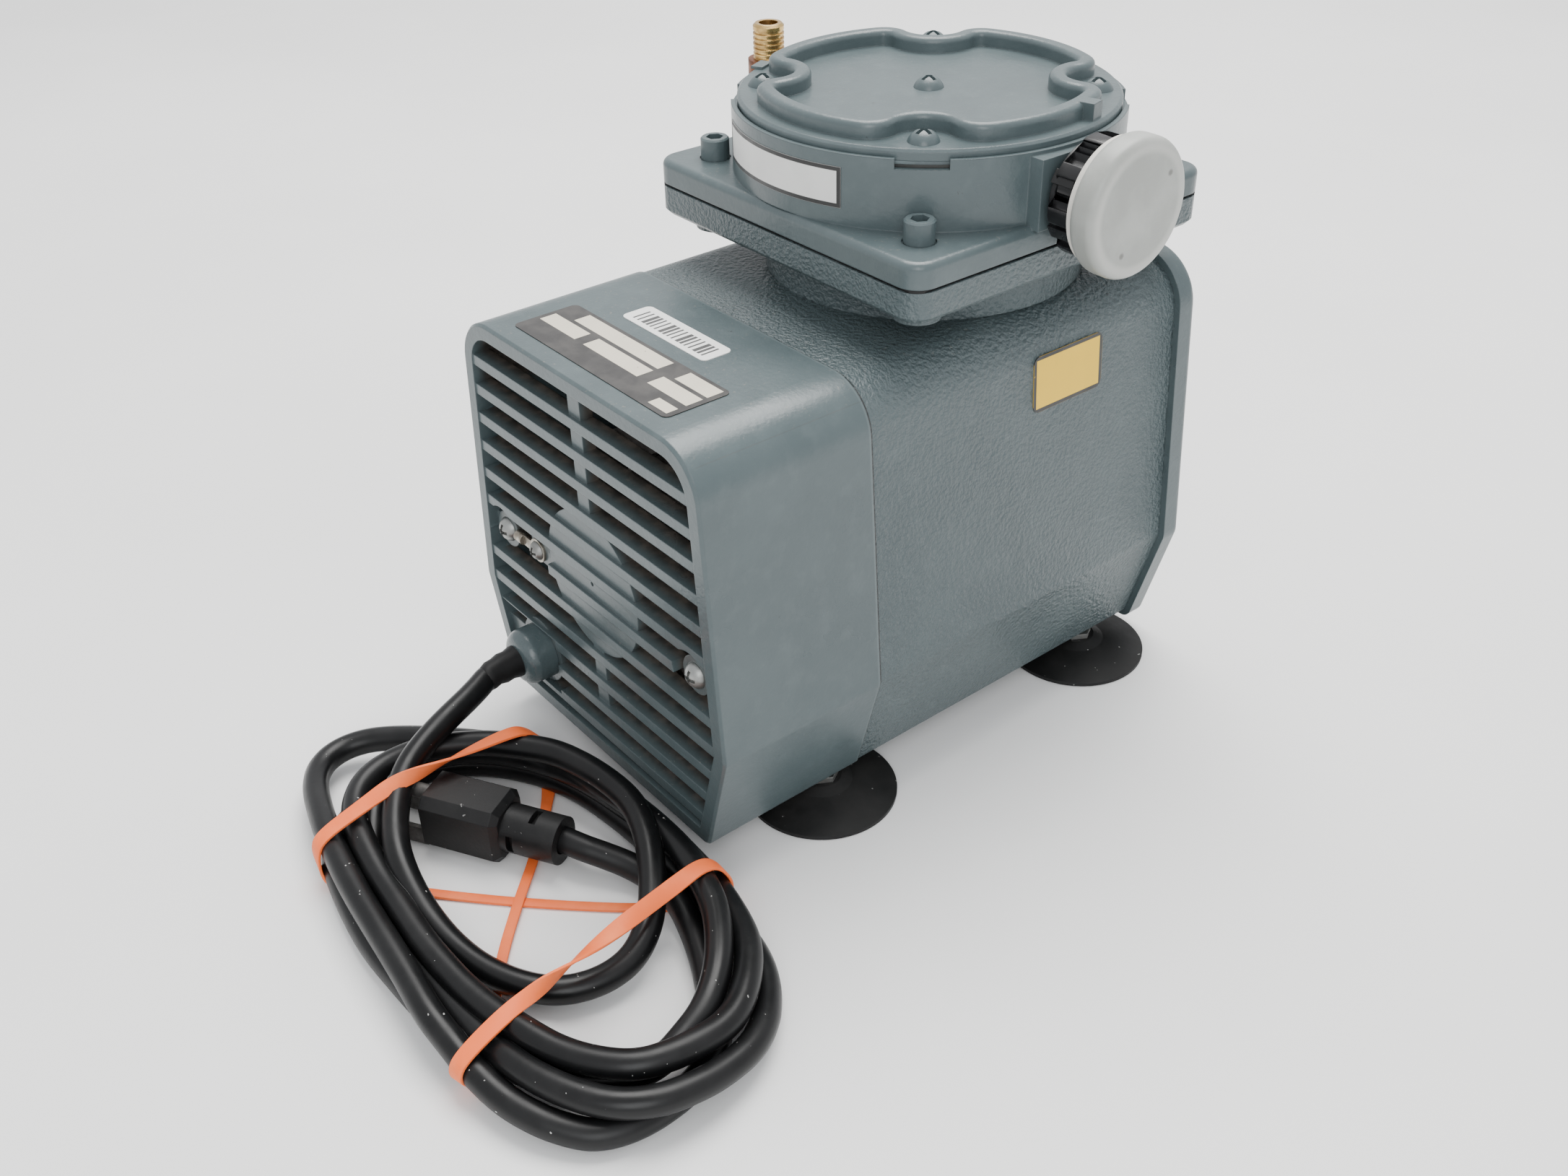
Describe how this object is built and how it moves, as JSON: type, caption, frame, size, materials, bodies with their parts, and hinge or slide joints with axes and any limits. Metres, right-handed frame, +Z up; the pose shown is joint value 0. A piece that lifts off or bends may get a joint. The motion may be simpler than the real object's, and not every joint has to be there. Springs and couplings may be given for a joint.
{
  "type": "diaphragm vacuum pump",
  "caption": "Motor-driven diaphragm vacuum pump with slatted cooling grille, square-flanged round valve head, inlet filter, outlet fitting, suction feet and a coiled mains lead.",
  "frame": {"origin": "on the floor plane, at the middle of the pump's footprint without its lead", "axes": "+Z up; the motor shaft lies along Y with the grille facing -Y; the inlet filter faces +X"},
  "size_m": [0.213, 0.2989, 0.2004],
  "materials": {
    "enamel": "semi-gloss blue-grey enamel",
    "cast_enamel": "pebbled blue-grey enamel",
    "enamel_grommet": "blue-grey enamel over a moulded bushing",
    "enamel_screw": "blue-grey enamel over steel",
    "zinc_screw": "zinc plated",
    "tinned_copper": "tinned",
    "black_rubber": "matt",
    "foot_rubber": "matt, dusty",
    "lamination_steel": "laminated",
    "copper_winding": "varnished copper",
    "bare_aluminium": "as cast",
    "bearing_steel": "ground",
    "ground_steel": "ground",
    "rotor_metal": "cast cage",
    "fan_aluminium": "cast, dusty",
    "cast_iron_part": "as cast",
    "diaphragm_rubber": "fabric reinforced",
    "gasket_rubber": "matt",
    "spring_steel": "polished",
    "baffle_metal": "enamelled edge",
    "black_plastic": "moulded",
    "frosted_plastic": "frosted, slightly translucent",
    "felt": "wool felt",
    "brown_elbow": "tarnished brass",
    "brass_fitting": "turned brass",
    "rating_label": "black with cream panels, no text",
    "white_label": "white with plain bars",
    "framed_label": "white with a black border",
    "yellow_label": "yellow with a black border",
    "cord_rubber": "satin",
    "plug_plastic": "moulded",
    "plug_metal": "stamped",
    "band_rubber": "matt orange"
  },
  "bodies": {
    "pump": {"grille_cover": "enamel", "motor_housing": "cast_enamel", "end_cover": "enamel", "cover_screws": "zinc_screw", "end_cover_screws": "zinc_screw", "earth_terminal": "tinned_copper", "earth_screw": "zinc_screw", "cord_grommet": "enamel_grommet", "cord_collar": "black_rubber", "stator_core": "lamination_steel", "stator_windings": "copper_winding", "front_bracket": "bare_aluminium", "bracket_screws": "zinc_screw", "front_bearing": "bearing_steel", "rear_bearing": "bearing_steel", "diaphragm": "diaphragm_rubber", "head_base": "enamel", "head_casting": "enamel", "head_cap_screws": "enamel_screw", "reed_clamps": "spring_steel", "reed_screws": "zinc_screw", "head_gasket": "gasket_rubber", "baffle_plate": "baffle_metal", "head_lid": "enamel", "lid_screws": "enamel_screw", "filter_body": "black_plastic", "filter_felt": "felt", "filter_cap": "frosted_plastic", "outlet_elbow": "brown_elbow", "brass_fitting": "brass_fitting", "foot_studs": "zinc_screw", "foot_nuts": "zinc_screw", "rating_plate": "rating_label", "stock_label": "white_label", "head_label": "framed_label", "side_label": "yellow_label", "cord_coil": "cord_rubber", "cord_lead": "cord_rubber", "cord_tail": "cord_rubber", "plug_body": "plug_plastic", "plug_neck": "plug_plastic", "plug_blades": "plug_metal", "coil_band": "band_rubber", "foot_cup_front_left": "foot_rubber", "foot_cup_front_right": "foot_rubber", "foot_cup_rear_left": "foot_rubber", "foot_cup_rear_right": "foot_rubber"},
    "rotor": {"motor_shaft": "ground_steel", "rotor_core": "rotor_metal", "cooling_fan": "fan_aluminium", "eccentric": "cast_iron_part", "crank_pin_screw": "zinc_screw"},
    "rod": {"connecting_rod": "bare_aluminium", "rod_bearing": "bearing_steel", "diaphragm_lower_clamp": "bare_aluminium", "diaphragm_upper_clamp": "bare_aluminium", "diaphragm_screw": "zinc_screw"},
    "intake_valve": {"intake_reed": "spring_steel"},
    "exhaust_valve": {"exhaust_reed": "spring_steel"}
  },
  "joints": [
    {"name": "shaft_spin", "type": "hinge", "parent": "pump", "child": "rotor", "pos_m": [0, 0, 0.074], "axis": [0, 1, 0], "continuous": true},
    {"name": "rod_swing", "type": "hinge", "parent": "rotor", "child": "rod", "pos_m": [0, 0.0423, 0.077], "axis": [0, 1, 0], "continuous": true, "deforming": ["diaphragm"]},
    {"name": "intake_reed_bend", "type": "hinge", "parent": "pump", "child": "intake_valve", "pos_m": [0.021, 0.0513, 0.1697], "axis": [1, 0, 0], "range_deg": [0, 3], "stiffness_Nm_per_rad": 0.002, "springref_deg": -11.46},
    {"name": "exhaust_reed_bend", "type": "hinge", "parent": "pump", "child": "exhaust_valve", "pos_m": [-0.021, 0.0513, 0.1729], "axis": [-1, 0, 0], "range_deg": [0, 6], "stiffness_Nm_per_rad": 0.002, "springref_deg": -11.46}
  ],
  "couplings": [
    {"joint": "rod_swing", "follows": "shaft_spin", "ratio": -1}
  ]
}
